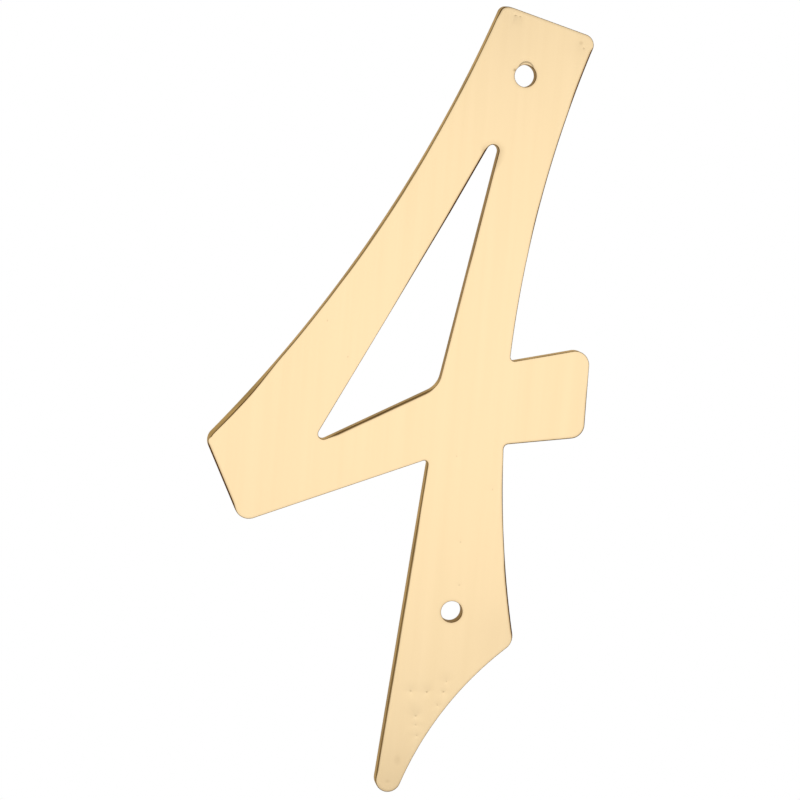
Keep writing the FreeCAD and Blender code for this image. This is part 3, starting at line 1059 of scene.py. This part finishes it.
@dataclass
class NumeralPlate:
    """The figure four: one plate with its counter, two screw holes and the marks of its making.

    Attributes:
        node: the frame's node that it stands for.
        name: the name of the piece.
        rim_step_mm: spacing of the points along the rim.
        grid_mm: spacing of the loose points in the flat faces.
        outline_worn, counter_worn: where the two rims are worn further, and where the painted
        shade of their corners and the darkening of their walls change, walked in their order.
        patches: where the face is painted darker, as shade towards its ends and corners.
        dents: nicks in the face.
    """

    node: str = "numeral_four"
    name: str = "brass_numeral_four"
    rim_step_mm: float = 0.4
    grid_mm: float = 2.5
    # In these stretches and the counter's, line deepens the painted shade of the rolled corner
    outline_worn: tuple[WornStretch, ...] = (
        # Arm: rubbed at mid height, and leaning in at its low end, where it stops at the corner
        WornStretch((-57.0, -62.5), (-5.5, 11.0), 5.0, 3.0, roll=0.06),
        WornStretch((-33.0, -35.5), (-22.0, -19.0), 6.0, 9.0, roll=0.11, line=-0.2),
        WornStretch((-60.7, -67.7), (-54.0, -61.0), 0.9, 11.0,
                    lean=0.38, shoulder=-0.2, line=0.7),
        # Upper left corner of the stem
        WornStretch((-4.9, 12.6), (-4.0, 13.3), 2.5, 2.0,
                    lean=0.1, roll=0.06, tarnish_and_shade=0.25, line=0.3),
        # Right edge of the stem, most at its top corner
        WornStretch((12.6, 4.5), (9.8, -2.5), 1.6, 5.0, roll=0.1, tarnish_and_shade=0.3, line=0.4),
        WornStretch((12.6, 4.5), (2.6, -27.0), 1.6, 8.0, roll=0.07, line=0.55),
        WornStretch((2.6, -27.0), (-1.9, -50.0), 5.0, 4.0, roll=0.02, line=0.2),
        # End and lower edge of the crossbar
        WornStretch((12.0, -62.5), (-2.5, -70.4), 5.0, 4.0, roll=0.06, line=0.45),
        # Right edge of the leg and its heel
        WornStretch((-4.3, -80.0), (-3.0, -107.5), 10.0, 3.0, roll=0.07, line=0.45),
        WornStretch((-3.6, -97.0), (-2.7, -108.0), 6.0, 2.5, roll=0.1, tarnish_and_shade=0.2, line=0.4),
        # Tip of the tail, and the left edge of the leg
        WornStretch((-25.0, -138.6), (-29.1, -134.0), 2.5, 3.0, roll=0.05, tarnish_and_shade=0.1),
        WornStretch((-29.1, -134.0), (-19.4, -75.0), 3.0, 3.0, roll=0.12, tarnish_and_shade=0.2, line=-0.1),
        WornStretch((-28.4, -131.0), (-26.8, -123.0), 3.0, 6.0, roll=0.04, tarnish_and_shade=0.1, line=0.05),
        WornStretch((-26.0, -116.0), (-22.0, -88.0), 10.0, 6.0, roll=0.13),
        # Slanted foot
        WornStretch((-54.5, -79.5), (-60.6, -69.6), 3.0, 1.2, roll=0.14, tarnish_and_shade=0.9),
    )
    counter_worn: tuple[WornStretch, ...] = (
        # Right side, and the lower edge
        WornStretch((-17.0, -57.0), (-6.0, -14.2), 2.0, 3.0, roll=-0.04, tarnish_and_shade=0.5),
        WornStretch((-17.0, -57.0), (-12.0, -38.0), 2.0, 6.0, roll=-0.07),
        WornStretch((-36.0, -67.6), (-19.5, -60.2), 3.0, 2.5,
                    roll=0.26, tarnish_and_shade=0.3, line=0.05),
        # Narrow end, where the wheel dug in and rounded the face over
        WornStretch((-5.6, -15.0), (-6.5, -13.9), 3.5, 2.0,
                    shoulder=1.1, droop=0.03, roll=0.05, line=0.1),
        WornStretch((-8.0, -14.6), (-13.0, -23.5), 2.0, 8.0, roll=0.08, tarnish_and_shade=0.3),
        WornStretch((-8.0, -14.6), (-17.0, -30.5), 2.0, 20.0, roll=0.16, tarnish_and_shade=0.4, line=0.25),
    )
    patches: tuple[PaintedShadePatch, ...] = (
        # Painted shade at the upper left corner and the edge beside it, upper right corner, heel,
        # and the tail
        PaintedShadePatch(-3.0, 10.0, 5.0, 8.0, 0.045),
        PaintedShadePatch(11.0, 5.5, 3.0, 3.5, 0.05),
        PaintedShadePatch(-4.5, -108.0, 5.0, 6.0, 0.05),
        PaintedShadePatch(-25.0, -140.0, 8.0, 9.0, 0.09),
    )
    dents: tuple[Dent, ...] = (
        # Pits above the tail
        Dent(-22.1, -119.1, 0.28, 0.03),
        Dent(-18.9, -119.4, 0.28, 0.03, tarnish_and_shade=0.25),
        Dent(-15.6, -119.5, 0.25, 0.03, tarnish_and_shade=0.2),
        Dent(-15.0, -117.4, 0.2, 0.02),
        Dent(-16.8, -122.1, 0.22, 0.02),
        Dent(-21.1, -124.1, 0.25, 0.03),
        Dent(-21.1, -125.9, 0.22, 0.02),
        Dent(-20.9, -128.0, 0.22, 0.02),
        # Smudges on the tail
        Dent(-24.7, -132.8, 1.0, 0.006, 1.5, 0.09),
        Dent(-26.7, -137.0, 0.8, 0.006, 0.7, 0.08),
        # Single specks
        Dent(-13.1, -72.9, 0.2, 0.02),
        Dent(-6.0, -79.6, 0.2, 0.02),
        Dent(-12.3, -89.8, 0.25, 0.02),
        Dent(-12.5, -98.3, 0.25, 0.02),
        Dent(-38.2, -46.1, 0.2, 0.02),
        Dent(-34.3, -53.1, 0.2, 0.02),
        # Knocks by the upper corners
        Dent(-2.0, 11.4, 0.35, 0.03, 0.5, 0.3),
        Dent(-1.1, 11.2, 0.3, 0.02, 0.5, 0.25),
        Dent(10.8, 6.3, 0.6, 0.012, 1.0, 0.16),
        Dent(11.3, 5.3, 0.3, 0.02, 1.2, 0.16),
    )

    def build(self) -> bpy.types.Object:
        """Work out the plate's surface from the frame.

        Returns:
            The plate as an object.
        """
        low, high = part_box(self.node)
        thickness = high[1] - low[1]
        outline_corners, counter_corners = back_edges(frame["nodes"][self.node])[:2]
        skin = Skin()
        bands = []
        profile = RimProfile(thickness)
        for corners, worn in ((outline_corners, self.outline_worn),
                              (counter_corners, self.counter_worn)):
            rim = Rim.through(corners, self.rim_step_mm * MM)
            bands.append((rim, *profile.grid(rim, worn)))
        bands += [hole.grid(thickness) for hole in self.holes()]
        backs = []
        fronts = []
        for rim, points, tarnish_and_shade, across, zones in bands:
            ids = skin.add_band(points, tarnish_and_shade, rim.run, across, zones)
            backs.append(ids[0])
            fronts.append(ids[-1])
        for dent in self.dents:
            fronts.append(skin.add_bowl(*dent.grid(thickness)))
        skin.fill(fronts, self.grid_mm * MM, front=True)
        skin.fill(backs, self.grid_mm * MM, front=False)
        # Painted shade: the face darker towards its upper corners, heel and tail
        skin.stain(self.patches, thickness)
        plate = bpy.data.objects.new(self.name, skin.mesh(self.name))
        bpy.context.scene.collection.objects.link(plate)
        return plate

    def holes(self) -> list[ScrewHole]:
        """Read the screw holes from the record's mounts.

        Returns:
            The holes, the upper one first. It alone has the off-centre cut.
        """
        mounts = [mount for mount in frame["record"]["mounts"] if mount["kind"] == "bore"]
        mounts.sort(key=lambda mount: -mount["pos_m"][2])
        cuts = [OffCentreCut()] + [None] * (len(mounts) - 1)
        centres = [np.array([mount["pos_m"][0], mount["pos_m"][2]]) for mount in mounts]
        return [ScrewHole(centre, mount["dims"]["r_mm"] * MM, cut)
                for centre, mount, cut in zip(centres, mounts, cuts)]

    def dress(self, plate: bpy.types.Object) -> None:
        """Give the plate its finishes, and put it in the place of its node.

        Args:
            plate: the plate as an object.
        """
        for finish in (BrushedBrass(), BlankedBrass(), MillBrass()):
            plate.data.materials.append(finish.material())
        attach(plate, "root")
        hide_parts(self.node)


@dataclass(frozen=True)
class Studio:
    """Camera at the photograph's angle, one large soft light, a plain world and a pale floor.

    Attributes:
        aim: middle of the picture, on the plate's front.
        left, ahead, above: the camera's place from there.
        seen_width: width of the picture at the aim's distance.
        box_place, box_width, box_height, box_level: the soft light, and how bright it is.
        room_level: how bright the room is, where 1 is white.
        backdrop_half_angle: how far the backdrop reaches from its middle, in degrees.
        fade_outside, fade_inside: how far its edge fades to either side, as a change of cosine.
        floor_drop, floor_radius, floor_sides: the floor, below the plate's lowest point.
    """

    aim: tuple[float, float, float] = (-0.02419, -0.0024, -0.06165)
    left: float = 0.075
    ahead: float = 0.460
    above: float = 0.062
    seen_width: float = 0.15354
    box_place: tuple[float, float, float] = (0.088, -0.70, -0.130)
    box_width: float = 0.8
    box_height: float = 0.44
    box_level: float = 0.68
    room_level: float = 0.6
    backdrop_half_angle: float = 30.0
    fade_outside: float = 0.1
    fade_inside: float = 0.05
    floor_drop: float = 0.16
    floor_radius: float = 0.45
    floor_sides: int = 96

    def camera(self) -> None:
        """Place the camera."""
        data = bpy.data.cameras.new("camera")
        offset = Vector((-self.left, -self.ahead, self.above))
        data.lens = data.sensor_width * offset.length / self.seen_width
        camera = bpy.data.objects.new("camera", data)
        camera.location = Vector(self.aim) + offset
        camera.rotation_euler = (-offset).to_track_quat("-Z", "Y").to_euler()
        bpy.context.scene.collection.objects.link(camera)
        bpy.context.scene.camera = camera

    def lights(self) -> None:
        """Hang the soft box, whose level is 1 where a colour is to render as it is written."""
        data = bpy.data.lights.new("soft_box", "AREA")
        data.shape = "RECTANGLE"
        data.size = self.box_width
        data.size_y = self.box_height
        data.energy = self.box_level * math.pi * self.box_width * self.box_height
        box = bpy.data.objects.new("soft_box", data)
        box.location = self.box_place
        towards = Vector(self.aim) - Vector(self.box_place)
        box.rotation_euler = towards.to_track_quat("-Z", "Y").to_euler()
        box.visible_camera = False
        bpy.context.scene.collection.objects.link(box)

    def world(self) -> None:
        """Fill the room with an even grey, and hang a white backdrop behind the figure.

        The camera sees white all round, and metal sees the backdrop's white behind the figure.
        """
        world = bpy.data.worlds.new("studio")
        world.use_nodes = True
        tree = world.node_tree
        tree.nodes.clear()
        look = add_node(tree, "ShaderNodeTexCoord").outputs["Generated"]
        behind = add_node(tree, "ShaderNodeSeparateXYZ", {0: look}).outputs[1]
        edge = math.cos(math.radians(self.backdrop_half_angle))
        patch = add_node(tree, "ShaderNodeMapRange", {
            "Value": behind, "From Min": edge - self.fade_outside,
            "From Max": edge + self.fade_inside}).outputs[0]
        path = add_node(tree, "ShaderNodeLightPath")
        sharp = add_node(tree, "ShaderNodeMath", {
            0: path.outputs["Is Glossy Ray"], 1: path.outputs["Is Transmission Ray"]},
            operation="MAXIMUM").outputs[0]
        seen = add_node(tree, "ShaderNodeMath", {0: sharp, 1: patch},
                        operation="MULTIPLY").outputs[0]
        white = add_node(tree, "ShaderNodeMath", {
            0: path.outputs["Is Camera Ray"], 1: seen}, operation="MAXIMUM").outputs[0]
        level = add_node(tree, "ShaderNodeMapRange", {
            "Value": white, "To Min": self.room_level, "To Max": 1.0}).outputs[0]
        ground = add_node(tree, "ShaderNodeBackground", {"Color": (1, 1, 1, 1), "Strength": level})
        add_node(tree, "ShaderNodeOutputWorld", {"Surface": ground.outputs[0]})
        bpy.context.scene.world = world

    def floor(self) -> None:
        """Lay a pale round floor below the figure, out of the photograph's view."""
        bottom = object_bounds()[0][2] - self.floor_drop
        angle = np.linspace(0, 2 * math.pi, self.floor_sides, endpoint=False)
        ring = np.stack([np.cos(angle), np.sin(angle), 0 * angle], axis=1) * self.floor_radius
        mesh = bpy.data.meshes.new("floor")
        mesh.from_pydata((ring + [self.aim[0], 0, bottom]).tolist(), [],
                         [list(range(self.floor_sides))])
        floor = bpy.data.objects.new("floor", mesh)
        # Matt paint: it takes the figure's shadow softly and shows no reflection
        material, tree = new_material("pale_matt_floor_paint")
        paint = add_node(tree, "ShaderNodeBsdfPrincipled", {
            "Base Color": srgb("F2F1EE"), "Roughness": 0.8})
        add_node(tree, "ShaderNodeOutputMaterial", {"Surface": paint.outputs[0]})
        mesh.materials.append(material)
        bpy.context.scene.collection.objects.link(floor)
        floor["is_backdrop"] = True

    def build(self) -> None:
        """Set up the whole studio."""
        bpy.context.scene.view_settings.view_transform = "Standard"
        self.camera()
        self.lights()
        self.world()
        self.floor()


def main() -> None:
    """Build the door number and its studio."""
    logging.basicConfig(level=logging.INFO, format="%(name)s: %(message)s")
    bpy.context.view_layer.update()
    Studio().build()
    numeral = NumeralPlate()
    plate = numeral.build()
    numeral.dress(plate)
    LOG.info("%s: %d faces", plate.name, len(plate.data.polygons))


if __name__ == "__main__":
    main()
